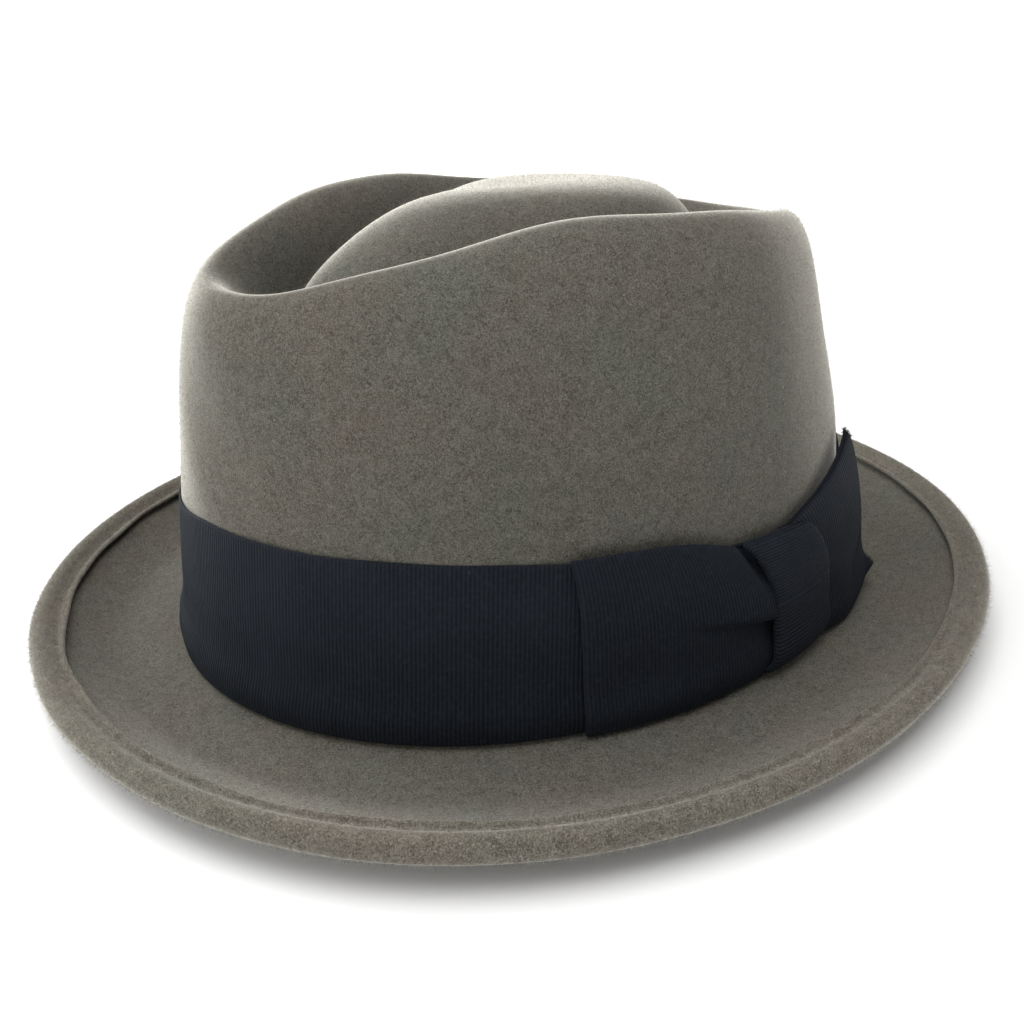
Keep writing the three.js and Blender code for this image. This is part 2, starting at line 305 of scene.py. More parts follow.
felt_tree, felt_in, felt_out = new_group(
    "brushed_fibres",
    [("Place", "Vector"), ("Base", "Color"), ("Pale", "Color"), ("Warm", "Color"), ("Cool", "Color")],
    [("Color", "Color"), ("Height", "Float"), ("Roughness", "Float"), ("Sheen Grain", "Float")])
where = felt_in.outputs["Place"]
clouds = grain(felt_tree, where, CLOUD_LUMPS, 3)
mottle = grain(felt_tree, where, MOTTLE_LUMPS, 3, 0.6)
fibres = grain(felt_tree, where, FIBRE_LUMPS, 3, 2.2)
strands = grain(felt_tree, where, STRAND_LUMPS, 2, 3.0)
fine = grain(felt_tree, where, FINE_LUMPS, 1)
warm_tone, cool_tone, pale_tone = (felt_in.outputs[key] for key in ("Warm", "Cool", "Pale"))
tone = blend(felt_tree, spread(felt_tree, clouds, 0.3, 0.7), warm_tone, cool_tone)
tone = blend(felt_tree, 0.55, felt_in.outputs["Base"], tone)
warm_fleck = spread(felt_tree, grain(felt_tree, where, FLECK_LUMPS, 2, 1.0), 0.56, 0.7, 0, 0.75)
off_strand = reckon(felt_tree, "ABSOLUTE", reckon(felt_tree, "SUBTRACT", strands, 0.5), 0)
for share, color in ((warm_fleck, warm_tone),
                     (spread(felt_tree, mottle, 0.35, 0.7, 0, 0.3), pale_tone),
                     (spread(felt_tree, fibres, 0.5, 0.72, 0, 0.7), pale_tone),
                     (spread(felt_tree, off_strand, 0, 0.035, 0.4, 0), pale_tone),
                     (spread(felt_tree, fine, 0.52, 0.72, 0, 0.5), pale_tone),
                     (spread(felt_tree, fine, 0.3, 0.48, 0.45, 0), DARK_WOOL),
                     (spread(felt_tree, fibres, 0.28, 0.5, 0.7, 0), DARK_WOOL)):
    tone = blend(felt_tree, share, tone, color)
felt_height = reckon(felt_tree, "ADD", reckon(felt_tree, "MULTIPLY", mottle, 0.5), fibres)
felt_height = reckon(felt_tree, "ADD", felt_height, reckon(felt_tree, "MULTIPLY", fine, 0.4))
# A grain of the fibres that breaks up the painted sheen which felt_finish mixes in.
sheen_grain = reckon(felt_tree, "ADD", fibres, reckon(felt_tree, "MULTIPLY", fine, 0.5))
feed(felt_tree, felt_out, {"Color": tone, "Height": felt_height,
                           "Roughness": spread(felt_tree, fibres, 0.3, 0.7, 0.86, 1.0),
                           "Sheen Grain": spread(felt_tree, sheen_grain, 0.6, 0.92, 0.45, 1.45)})


def new_material(name):
    """A material with its node tree and its Principled shader."""
    material = bpy.data.materials.new(name)
    material.use_nodes = True
    return material, material.node_tree, material.node_tree.nodes["Principled BSDF"]


def felt_finish(name, base, pale, bump=0.5, rim=(0.54, 1.25)):
    """Brushed wool felt in a base tone and a pale tone for its raised fibres.

    Seen along the surface its colour turns pale in a grain of fibres, a painted sheen for light
    caught in them: rim gives how much of it on upright faces and on faces that look up.
    """
    material, tree, shader = new_material(name)
    place = add(tree, "ShaderNodeTexCoord")
    fibre = add(tree, "ShaderNodeGroup", node_tree=felt_tree)
    feed(tree, fibre, {"Place": place.outputs["Object"], "Base": base, "Pale": pale,
                       "Warm": WARM_WOOL, "Cool": COOL_WOOL})
    relief = add(tree, "ShaderNodeBump", {"Strength": bump, "Distance": FELT_RELIEF,
                                          "Height": fibre.outputs["Height"]})
    # Painted sheen: seen along the surface, the colour is mixed towards a pale tone, more on faces that look
    # up to the light from above, broken up by the fibres' grain.
    facing = add(tree, "ShaderNodeLayerWeight", {"Blend": 0.5}).outputs["Facing"]
    along = reckon(tree, "POWER", spread(tree, facing, 0.42, 0.97), 3)
    faces_up = add(tree, "ShaderNodeSeparateXYZ", {0: place.outputs["Normal"]}).outputs["Z"]
    tips = reckon(tree, "MULTIPLY", along, spread(tree, faces_up, 0, 1, *rim))
    tips = reckon(tree, "MULTIPLY", tips, fibre.outputs["Sheen Grain"])
    feed(tree, shader, {"Base Color": blend(tree, tips, fibre.outputs["Color"], PAINTED_SHEEN_TONE),
                        "Roughness": fibre.outputs["Roughness"], "Normal": relief.outputs["Normal"],
                        "Specular IOR Level": 0.15, "Sheen Weight": 0.35, "Sheen Roughness": 0.3,
                        "Sheen Tint": (1.0, 0.97, 0.88, 1)})
    return material


# The hood's felt, with the default painted sheen, strongest on faces that look up.
felt = felt_finish("brushed_felt", (0.09, 0.087, 0.071, 1), (0.185, 0.178, 0.152, 1))
hood.data.materials.append(felt)
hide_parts("felt_body")
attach(hood, "root")


# The nap: loose ends of wool stand up from the brushed face by a millimetre or two. They soften
# the outline. Their colour is painted far paler than the felt's, a painted glow for fibres lit
# from behind. Each is one thin, partly clear spike of four faces.

NAP_RADIUS, NAP_ROOT, NAP_LEAN, NAP_COVER = 0.036, 0.06, (0.3, 1.6), 0.34
HOOD_NAP, HOOD_NAP_LENGTHS = 48000, (0.4, 1.6)
COVERED_PLACE, COVERED_HEIGHT = 13.0, 46.0
OFF_AXIS = (0.0, 0.1, 0.3)


def scatter(grid, weight, count, draw):
    """Random points on a grid's quads, closed round its columns, and their outward normals.

    A quad is drawn by its area times its weight, and its point is bilinear in two random shares.
    """
    near, far = grid[:-1], grid[1:]
    corners = [near, far, np.roll(near, -1, 1), np.roll(far, -1, 1)]
    normals = np.cross(far - near, corners[2] - near)
    area = (np.linalg.norm(normals, axis=-1) * weight).ravel()
    chosen = draw.choice(area.size, count, p=area / area.sum())
    up, along = draw.uniform(size=(2, count, 1))
    a, b, c, d = (corner.reshape(-1, 3)[chosen] for corner in corners)
    points = (a * (1 - up) + b * up) * (1 - along) + (c * (1 - up) + d * up) * along
    return points, unit(normals.reshape(-1, 3)[chosen])


def spikes_object(name, roots, tips, radius, sides=3):
    """Thin closed spikes: corners round each root, fanned to its tip.

    A corner is the root plus the radius times cosine and sine of its share of a turn, along two
    directions at right angles to the spike.
    """
    way = unit(tips - roots)
    side = unit(np.cross(way, way[:, [1, 2, 0]] + OFF_AXIS))
    other = np.cross(way, side)
    swing = 2 * np.pi * np.arange(sides)[:, None] / sides
    corners = roots[:, None] + radius * (np.cos(swing) * side[:, None] + np.sin(swing) * other[:, None])
    points = np.concatenate([corners, tips[:, None]], 1).reshape(-1, 3)
    first = (sides + 1) * np.arange(len(roots))[:, None]
    corner = np.arange(sides)[None, :]
    fans = np.stack([first + corner, first + (corner + 1) % sides, first + sides + 0 * corner], -1)
    faces = fans.reshape(-1, 3).tolist() + (first + corner[:, ::-1]).tolist()
    mesh = bpy.data.meshes.new(name)
    mesh.from_pydata((points * 0.001).tolist(), [], faces)
    return put_in_scene(name, mesh)


def nap_object(name, grid, weight, count, lengths, seed):
    """Spikes on a grid: their way is the normal plus a random lean along the surface."""
    draw = np.random.default_rng(seed)
    roots, normals = scatter(grid, weight, count, draw)
    lean = draw.normal(size=roots.shape)
    lean = unit(lean - (lean * normals).sum(-1, keepdims=True) * normals)
    way = unit(normals + lean * draw.uniform(*NAP_LEAN, (count, 1)))
    tips = roots + way * draw.uniform(*lengths, (count, 1))
    made = spikes_object(name, roots - normals * NAP_ROOT, tips, NAP_RADIUS)
    made.data.materials.append(nap_painted_glow)
    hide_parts("felt_body")
    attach(made, "root")


# Painted glow: the nap's spikes take a pale colour, far lighter than the felt's, standing in for light
# through fibres lit from behind.
nap_painted_glow = felt_finish("nap_painted_glow", (0.72, 0.7, 0.62, 1), (0.85, 0.83, 0.75, 1), 0.1)
nap_painted_glow.node_tree.nodes["Principled BSDF"].inputs["Alpha"].default_value = NAP_COVER
under_ribbon = (places[:-1, None] < COVERED_PLACE) & (outer[:-1, :, 2] < COVERED_HEIGHT)
nap_object("hood_nap", outer + lift * uneven, ~under_ribbon, HOOD_NAP, HOOD_NAP_LENGTHS, 31)


# The folded edge: the brim's last 9 mm is turned over on to its top and sewn down, which makes a
# thick soft roll with a cut lip that stands up a little, and a groove along the stitches.

STITCHES, STITCH_COLUMNS = 190, 6
FOLD_COLUMNS = STITCH_COLUMNS * STITCHES

# The roll's section: millimetres inside the rim, height as a share of the rim's, and how much
# of the stitches' pull and of the lip's waver each place takes.
FOLD_SECTION = [
    ("pocket_end", 6.3, 0.66, 0, 0),
    ("pocket_roof", 7.0, 0.715, 0, 0.3),
    ("lip_under", 7.9, 0.742, 0, 0.8),
    ("lip_low", 8.5, 0.766, 0, 1),
    ("lip_cut", 8.9, 0.8, 0, 1),
    ("lip_high", 8.75, 0.834, 0, 1),
    ("lip_top", 8.25, 0.85, 0.05, 1),
    ("lip_back", 7.6, 0.84, 0.3, 0.6),
    ("seam_near", 7.15, 0.818, 0.8, 0.2),
    ("seam", 6.75, 0.812, 1, 0),
    ("seam_far", 6.35, 0.824, 0.8, 0),
    ("seam_rise", 5.8, 0.854, 0.3, 0),
    ("welt_low", 5.2, 0.892, 0.08, 0),
    ("welt", 4.4, 0.945, 0, 0),
    ("fold_inside", 3.5, 0.983, 0, 0),
    ("fold_top", 2.5, 1, 0, 0),
    ("fold_outside", 1.5, 0.978, 0, 0),
    ("fold_side", 0.7, 0.92, 0, 0),
    ("outer_face", 0.1, 0.83, 0, 0),
    ("outer_middle", 0, 0.74, 0, 0),
    ("outer_low", 0.4, 0.62, 0, 0),
    ("curl", 1.1, 0.53, 0, 0),
    ("curl_under", 2.1, 0.468, 0, 0),
    ("under_near", 3.4, 0.435, 0, 0),
    ("under", 5, 0.43, 0, 0),
    ("under_far", 6.8, 0.443, 0, 0),
    ("feather", 8.1, 0.455, 0, 0),
    ("feather_end", 8.5, 0.48, 0, 0),
    ("core_low", 7.6, 0.53, 0, 0),
    ("core", 6.4, 0.58, 0, 0),
]
SECTION_PARTS = 2
STITCH_PULL, DENT_SHARPNESS, DENT_VARIATION, DENT_WAVES = 0.22, 1.5, 0.45, (40, 90)
WAVER, WAVER_LIFT, SCALLOP, SCALLOP_LIFT = 0.26, 0.6, 0.05, 0.5
RIM_WAVER, RIM_WAVES = 0.16, (4, 20)


def slow_waver(angle, seed, first=7, last=34):
    """A sum of sine waves that go a whole number of times round, with fixed random phases."""
    draw = np.random.default_rng(seed)
    counts = np.arange(first, last)
    size = draw.normal(size=len(counts)) / np.sqrt(len(counts))
    phase = draw.uniform(0, 2 * np.pi, len(counts))
    return (size[:, None] * np.sin(counts[:, None] * angle[None, :] + phase[:, None])).sum(0)


def smooth_rows(values, parts):
    """Closed Catmull-Rom curve through rows of values, with so many parts to each span."""
    before, after, later = np.roll(values, 1, 0), np.roll(values, -1, 0), np.roll(values, -2, 0)
    share = (np.arange(parts) / parts)[None, :, None]
    p0, p1, p2, p3 = (rows[:, None, :] for rows in (before, values, after, later))
    curve = 0.5 * (2 * p1 + (p2 - p0) * share + (2 * p0 - 5 * p1 + 4 * p2 - p3) * share ** 2
                   + (3 * p1 - p0 - 3 * p2 + p3) * share ** 3)
    return curve.reshape(-1, values.shape[1])


FOLD_ANGLES = 2 * np.pi * np.arange(FOLD_COLUMNS) / FOLD_COLUMNS
section = smooth_rows(np.array([row[1:] for row in FOLD_SECTION], float), SECTION_PARTS)
section_row = {row[0]: SECTION_PARTS * k for k, row in enumerate(FOLD_SECTION)}
inset, rise, pull, waver = (section[:, k, None] for k in range(4))
stitch_phase = np.cos(STITCHES * FOLD_ANGLES)[None, :]
dent_depth = 1 + DENT_VARIATION * slow_waver(FOLD_ANGLES, 14, *DENT_WAVES)[None, :]
dent = np.clip(stitch_phase, 0, 1) ** DENT_SHARPNESS * dent_depth
rim_height = round_hat(RIM_HEIGHT, FOLD_ANGLES)[None, :]
lip_in = WAVER * slow_waver(FOLD_ANGLES, 11)[None, :] + SCALLOP * stitch_phase
lip_up = WAVER_LIFT * WAVER * slow_waver(FOLD_ANGLES, 12)[None, :] - SCALLOP_LIFT * SCALLOP * stitch_phase
rim_out = RIM_WAVER * slow_waver(FOLD_ANGLES, 13, *RIM_WAVES)[None, :]
rim_share = np.clip(1 - inset / TURN_INSET, 0, 1)
fold_out = round_hat(BRIM_WIDTH, FOLD_ANGLES)[None, :] - inset - waver * lip_in + rim_share * rim_out
fold_height = rise * rim_height - pull * STITCH_PULL * dent + waver * lip_up
fold_grid = on_oval(FOLD_ANGLES[None, :], 1, fold_out, 0, fold_height)
fold = surface_object("felt_fold", fold_grid, wrap_rows=True)
# A paler, browner copy of the felt for the roll: painted light, as the roll catches more light than the brim
# beside it, with its painted sheen mostly on upright faces.
fold.data.materials.append(
    felt_finish("roll_felt_painted_lighter", (0.138, 0.125, 0.1, 1), (0.262, 0.24, 0.2, 1), rim=(0.6, 0.08)))
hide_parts("felt_body")
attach(fold, "root")

# The roll is rubbed and brushed more than the rest, so its nap is thicker.
ROLL_NAP, ROLL_NAP_LENGTHS = 48000, (0.5, 1.9)
roll_face = fold_grid[section_row["lip_top"]:section_row["under_near"]]
nap_object("fold_nap", roll_face, 1, ROLL_NAP, ROLL_NAP_LENGTHS, 32)

# One row of short thread stitches, each sunk in its dent in the groove.
STITCH_HALF, THREAD_RADIUS, THREAD_SINK, THREAD_RISE, THREAD_SIDES = 1.2, 0.11, 0.3, 0.03, 6
stitch_columns = np.arange(STITCHES) * STITCH_COLUMNS
seam = fold_grid[section_row["seam"]]
stitch_middle = seam[stitch_columns] + (0, 0, THREAD_RISE)
stitch_way = STITCH_HALF * unit(seam[stitch_columns + 1] - seam[stitch_columns - 1])
sunk = np.array([0, 0, THREAD_SINK])
stitches = spikes_object(
    "edge_stitches", np.concatenate([stitch_middle, stitch_middle]),
    np.concatenate([stitch_middle + stitch_way - sunk, stitch_middle - stitch_way - sunk]),
    THREAD_RADIUS, THREAD_SIDES)
stitches.data.materials.append(
    felt_finish("seam_thread", (0.06, 0.056, 0.047, 1), (0.1, 0.094, 0.08, 1), rim=(0, 0)))
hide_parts("felt_body")
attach(stitches, "root")


# The ribbon band: one length of blue-black grosgrain, 44 mm wide, taut round the foot of the
# crown. Its ribs are cords that run from edge to edge, about one to the millimetre.

RIBBON_WIDTH, RIBBON_FOOT, RIBBON_THICKNESS, BAND_GAP = 44.0, 3.4, 0.6, 0.35
BAND_RIBS, RIB_SAMPLES, RIB_RELIEF, RIB_AT_EDGE, RIB_EDGE_POWER = 594, 6, 0.03, 0.35, 24
BAND_WAVER, BAND_WAVES = 0.12, (5, 26)
BRIM_BULGE, BULGE_HEIGHT, BULGE_SPREAD = 1.3, 7.5, 4.5
WAIST, WAIST_HEIGHT, WAIST_SPREAD = 0.25, 18.0, 6.0

# The band's edges come down where the knot draws it in, and lie a little lower by the front:
# turn in degrees, how much its foot and its top come down, and over how many degrees.
BAND_DIPS = [(99.0, 0.0, 9.0, 30.0), (135.0, 0.0, 4.8, 15.0), (-20.0, 1.3, 4.8, 18.0)]
BRIDGE_LOW, BRIDGE_HIGH = 14.0, 30.0

# The crown's wall, found once on a fine net of turns and heights by halving the levels.
WALL_TURNS, WALL_HEIGHTS = np.linspace(0, 360, 721), np.linspace(-4, 56, 61)
WALL_FROM, WALL_TO, HALVINGS = 8.0, 14.0, 30


def find_wall(turn, height):
    """The outer face at a height: its level lies in an interval that is halved again and again."""
    turn, height = np.broadcast_arrays(np.radians(turn), height)
    low, high = np.full(turn.shape, WALL_FROM), np.full(turn.shape, WALL_TO)
    for _ in range(HALVINGS):
        middle = (low + high) / 2
        above = hood_face(middle, turn)[..., 2] > height
        low, high = np.where(above, middle, low), np.where(above, high, middle)
    return hood_face(low, turn)


wall_net = find_wall(WALL_TURNS[:, None], np.maximum(WALL_HEIGHTS, BRIDGE_LOW)[None, :])
bridge_foot, bridge_head = (find_wall(WALL_TURNS, height)[:, None] for height in (BRIDGE_LOW, BRIDGE_HIGH))
bridge_share = (WALL_HEIGHTS - BRIDGE_LOW) / (BRIDGE_HIGH - BRIDGE_LOW)
bridge = bridge_foot + (bridge_head - bridge_foot) * bridge_share[None, :, None]
wall_net = np.where((WALL_HEIGHTS < BRIDGE_LOW)[None, :, None], bridge, wall_net)


def off_wall(turn, height, off):
    """A point standing off the crown's wall: the net's four nearest points blended, then out.

    turn is in degrees from the front, height above the table and off from the felt in millimetres.
    Near the brim the straight wall above is carried on down, as a taut ribbon does.
    """
    turn, height, off = np.broadcast_arrays(turn, height, off)
    across = (turn % 360) * (len(WALL_TURNS) - 1) / 360
    up = np.clip(height - WALL_HEIGHTS[0], 0, len(WALL_HEIGHTS) - 1.001)
    i, j = np.floor(across).astype(int), np.floor(up).astype(int)
    a, b = (across - i)[..., None], (up - j)[..., None]
    wall = ((wall_net[i, j] * (1 - b) + wall_net[i, j + 1] * b) * (1 - a)
            + (wall_net[i + 1, j] * (1 - b) + wall_net[i + 1, j + 1] * b) * a)
    angle = np.radians(turn)
    level = np.stack([np.sin(angle) / HEAD_HALF_WIDTH, -np.cos(angle) / HEAD_HALF_LENGTH,
                      np.zeros(angle.shape)], -1)
    return wall + unit(level) * off[..., None]


def bell(value, middle, spread):
    """A bell curve: e to the minus square of the distance from the middle over the spread."""
    return np.exp(-((value - middle) / spread) ** 2)


def flare(height):
    """The band's outward bulge near the brim and slight waist above: a bell curve less another."""
    return (BRIM_BULGE * bell(height, BULGE_HEIGHT, BULGE_SPREAD)
            - WAIST * bell(height, WAIST_HEIGHT, WAIST_SPREAD))


def band_edges(turn):
    """Heights of the band's foot and top: level, less a bell curve of the turn for each dip."""
    foot, top = RIBBON_FOOT, RIBBON_FOOT + RIBBON_WIDTH
    for middle, foot_drop, top_drop, width in BAND_DIPS:
        near = bell((turn - middle + 180) % 360 - 180, 0, width)
        foot, top = foot - foot_drop * near, top - top_drop * near
    return foot, top


BAND_SHARES = np.array([0, 0.012, 0.05, 0.11, 0.18, 0.27, 0.38, 0.52, 0.68, 0.84, 0.94, 0.988, 1])
BAND_BACK_STEP, BAND_MIDDLE_ROW = 3, len(BAND_SHARES) // 2
band_turns = 360 * np.arange(BAND_RIBS * RIB_SAMPLES) / (BAND_RIBS * RIB_SAMPLES)
rib = np.cos(2 * np.pi * np.arange(BAND_RIBS * RIB_SAMPLES) / RIB_SAMPLES)[None, :]
band_waver = BAND_WAVER * slow_waver(np.radians(band_turns), 21, *BAND_WAVES)[None, :]


def band_face(shares, off, relief):
    """One face of the band: rows up its width, at a distance off the wall that the ribs vary.

    The ribs' relief falls at both edges, by a high power of the distance from mid width.
    """
    shares = shares[:, None]
    foot, top = band_edges(band_turns)
    height = foot + shares * (top - foot) + band_waver * shares
    edge = 1 - np.abs(2 * shares - 1) ** RIB_EDGE_POWER
    ribbed = relief * rib * (RIB_AT_EDGE + (1 - RIB_AT_EDGE) * edge)
    return off_wall(band_turns[None, :], height, off + flare(height) + ribbed)


band_front = band_face(BAND_SHARES[::-1], BAND_GAP + RIBBON_THICKNESS, RIB_RELIEF)
band_back = band_face(BAND_SHARES[::BAND_BACK_STEP], BAND_GAP, 0)
band_grid = np.concatenate([band_front, band_back])
band_u = np.arange(BAND_RIBS * RIB_SAMPLES) / RIB_SAMPLES
band_v = np.concatenate([BAND_SHARES[::-1], BAND_SHARES[::BAND_BACK_STEP]])
band_uv = np.stack(np.broadcast_arrays(band_u[None, :], band_v[:, None]), -1)
band = surface_object("grosgrain_band", band_grid, wrap_rows=True, uv=band_uv)

# Grosgrain: fine shiny warp threads go over and under the ribs, which shows as close short lines
# along the ribbon. The lines' paler colour on the crests is a painted glint, and the darker colour
# in the groove between each rib and the next is painted shade.
WARP_THREADS, STREAK_LUMPS, SHADE_LUMPS = 70, 900, 60
# Two painted colours: shade for the grooves, and a paler sheen for the ribbon seen along its surface.
GROOVE_SHADE, RIBBON_GRAZING_SHEEN = (0.004, 0.005, 0.007, 1), (0.07, 0.082, 0.095, 1)
WEAVE_RELIEF = 0.0002

cord_tree, cord_in, cord_out = new_group(
    "ribbed_weave", [("Place", "Vector"), ("Cloth", "Vector"), ("Base", "Color"), ("Pale", "Color")],
    [("Color", "Color"), ("Height", "Float"), ("Roughness", "Float")])
split = add(cord_tree, "ShaderNodeSeparateXYZ", {0: cord_in.outputs["Cloth"]})
ribs_along = reckon(cord_tree, "MULTIPLY", split.outputs["X"], 2 * np.pi)
crest = spread(cord_tree, reckon(cord_tree, "COSINE", ribs_along, 0), -1, 1)
threads = reckon(cord_tree, "MULTIPLY", split.outputs["Y"], 2 * np.pi * WARP_THREADS)
over_or_under = reckon(cord_tree, "MULTIPLY", reckon(cord_tree, "ROUND", split.outputs["X"], 0), np.pi)
threads = reckon(cord_tree, "ADD", threads, over_or_under)
thread = spread(cord_tree, reckon(cord_tree, "SINE", threads, 0), -1, 1)
streak = grain(cord_tree, cord_in.outputs["Place"], STREAK_LUMPS, 2)
cloud = grain(cord_tree, cord_in.outputs["Place"], SHADE_LUMPS, 2)
# Painted shade darkens the grooves between ribs; painted glints lighten the threads on the crests, and random
# streaks and clouds lighten it too.
shade = blend(cord_tree, spread(cord_tree, crest, 0.1, 0.75, 0.35, 0.9), GROOVE_SHADE, cord_in.outputs["Base"])
for share in (reckon(cord_tree, "MULTIPLY", spread(cord_tree, thread, 0.3, 1, 0, 0.3), crest),
              spread(cord_tree, streak, 0.45, 0.75, 0, 0.4), spread(cord_tree, cloud, 0.4, 0.75, 0, 0.2)):
    shade = blend(cord_tree, share, shade, cord_in.outputs["Pale"])
weave_height = reckon(cord_tree, "ADD", crest, reckon(cord_tree, "MULTIPLY", thread, 0.25))
weave_height = reckon(cord_tree, "ADD", weave_height, reckon(cord_tree, "MULTIPLY", streak, 0.3))
feed(cord_tree, cord_out, {"Color": shade, "Height": weave_height,
                           "Roughness": spread(cord_tree, streak, 0.3, 0.7, 0.66, 0.85)})


def ribbon_finish(name, base, pale):
    """Grosgrain in a base tone and a pale tone where its threads catch the light."""
    material, tree, shader = new_material(name)
    place = add(tree, "ShaderNodeTexCoord").outputs["Object"]
    cloth = add(tree, "ShaderNodeUVMap", uv_map="cloth").outputs["UV"]
    weave = add(tree, "ShaderNodeGroup", {"Place": place, "Cloth": cloth, "Base": base, "Pale": pale},
                node_tree=cord_tree)
    relief = add(tree, "ShaderNodeBump", {"Strength": 0.35, "Distance": WEAVE_RELIEF,
                                          "Height": weave.outputs["Height"]})
    # Painted sheen: seen along its surface the ribbon's colour turns paler and bluer.
    facing = add(tree, "ShaderNodeLayerWeight", {"Blend": 0.5}).outputs["Facing"]
    grazing_sheen = spread(tree, facing, 0.76, 0.98, 0, 0.35)
    feed(tree, shader, {"Base Color": blend(tree, grazing_sheen, weave.outputs["Color"], RIBBON_GRAZING_SHEEN),
                        "Roughness": weave.outputs["Roughness"], "Normal": relief.outputs["Normal"],
                        "Specular IOR Level": 0.07, "Sheen Weight": 0.015, "Sheen Roughness": 0.4,
                        "Sheen Tint": (0.8, 0.88, 1.0, 1)})
    return material


grosgrain = ribbon_finish("grosgrain", (0.012, 0.0148, 0.0202, 1), (0.026, 0.031, 0.041, 1))
band.data.materials.append(grosgrain)
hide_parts("ribbon_band")
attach(band, "root")


# The bow's loop: the same ribbon folded back on itself, flat at the fold and gathered towards the
# knot, with one soft pleat that runs into the knot and fades out half way along.

CLOTH_THICKNESS, CLOTH_RELIEF, RIB_PITCH = 0.55, 0.03, 1.0
# Millimetres along the crown's side to one degree of turn, where the bow is.
SIDE_MILLIMETRES = 1.78
STEP_END = 40
KNOT_LEFT, KNOT_RIGHT = (93.0, 88.3, 3.3), (107.4, 101.3, 4.2)


def arch(share):
    """A parabola that is 0 at both ends and 1 half way."""
    return 4 * share * (1 - share)


def ease(share):
    """Smooth step: 3 share squared less 2 share cubed, held at both ends."""
    share = np.clip(share, 0, 1)
    return share ** 2 * (3 - 2 * share)


def edge_line(line, share):
    """A leaning curved edge: turn at the foot, turn at the head, and extra at mid height."""
    foot, head, belly = line
    return foot + (head - foot) * share + belly * arch(share)


def on_band(turn, height, off):
    """A point standing off the band's outer face."""
    return off_wall(turn, height, BAND_GAP + RIBBON_THICKNESS + flare(height) + off)


def soft_step(value, place, softness):
    """A step down from 1 to 0 at a place: 1 over 1 plus e to the distance over the softness."""
    return 1 / (1 + np.exp(np.clip((value - place) / softness, -STEP_END, STEP_END)))


def even_places(points):
    """Shares of a path of points, evenly spaced with six to a rib, and the path's length."""
    steps = np.linalg.norm(np.diff(points, axis=0), axis=-1)
    run = np.concatenate([[0], np.cumsum(steps)])
    ribs = max(int(round(run[-1] / RIB_PITCH)), 1)
    targets = np.linspace(0, run[-1], ribs * RIB_SAMPLES + 1)
    return np.interp(targets, run, np.linspace(0, 1, len(points))), run[-1]


def cloth_object(name, middle, first_rib=0.0, closed=False, relief=CLOTH_RELIEF):
    """A ribbon about its middle face: rows across its width and columns along its length.

    The normal is the cross product of the differences down the rows and along the columns. Both
    faces lie half a thickness off the middle, and a little more at each rib's crest.
    """
    if closed:
        along = np.roll(middle, -1, 1) - np.roll(middle, 1, 1)
    else:
        along = np.gradient(middle, axis=1)
    across = np.gradient(middle, axis=0)
    normal = unit(np.cross(across, along))
    columns = middle.shape[1]
    rib_place = first_rib + np.arange(columns) / RIB_SAMPLES
    half = CLOTH_THICKNESS / 2 + relief * np.cos(2 * np.pi * rib_place)
    half = half[None, :, None]
    grid = np.concatenate([middle + normal * half, (middle - normal * half)[::-1]])
    width = np.linspace(0, 1, middle.shape[0])
    places_across = np.concatenate([width, width[::-1]])
    uv = np.stack(np.broadcast_arrays(rib_place[None, :], places_across[:, None]), -1)
    made = surface_object(name, grid, wrap_rows=True, wrap_columns=closed, uv=uv, ends=not closed)
    made.data.materials.append(grosgrain)
    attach(made, "root")
    return made


LOOP_FOOT, LOOP_TOP, LOOP_TOP_FALL, LOOP_TOP_POWER = 3.3, 46.8, 12.0, 3.2
LOOP_BACK_OFF, LOOP_FRONT_OFF, LOOP_SWELL = 0.45, 1.6, 2.6
LOOP_UNDER_KNOT, LOOP_BACK_LOWER, LOOP_LEAST_OFF = 4.0, 0.6, LOOP_FRONT_OFF - 0.35
LOOP_FOLD_FOOT, LOOP_FOLD_LEAN, LOOP_FOLD_HOOK, LOOP_HOOK_POWER = 64.9, 1.0, 1.5, 5
SWELL_REACH, SWELL_POWER, SWELL_AT_FOOT, SWELL_LESS_AT_TOP = 0.9, 0.7, 0.45, 0.25
PLEAT_START, PLEAT_FULL, PLEAT_DEPTH, PLEAT_SHARP, PLEAT_RECOVER = 0.33, 0.86, 3.0, 0.45, 8.5
PLEAT_HEIGHT, PLEAT_FALL, PLEAT_LIFT, PLEAT_LIFT_REACH = 26.2, 15.0, 0.25, 5
TUCK_DEPTH, TUCK_WIDTH, TUCK_FOOT, TUCK_HEAD = 2.6, 2.3, 26.0, 38.0
LOOP_ROWS, LOOP_ROUGH_COLUMNS, LOOP_BEND_COLUMNS, LOOP_BACK_COLUMNS = 60, 400, 14, 60

across_loop = np.linspace(0, 1, LOOP_ROWS)[:, None]
loop_fold = LOOP_FOLD_FOOT - LOOP_FOLD_LEAN * across_loop - LOOP_FOLD_HOOK * across_loop ** LOOP_HOOK_POWER
loop_end = edge_line(KNOT_LEFT, across_loop) + LOOP_UNDER_KNOT


def loop_height(q):
    """Height up the loop: straight foot, and a top edge that falls by a power of the length."""
    return LOOP_FOOT + across_loop * (LOOP_TOP - LOOP_TOP_FALL * q ** LOOP_TOP_POWER - LOOP_FOOT)


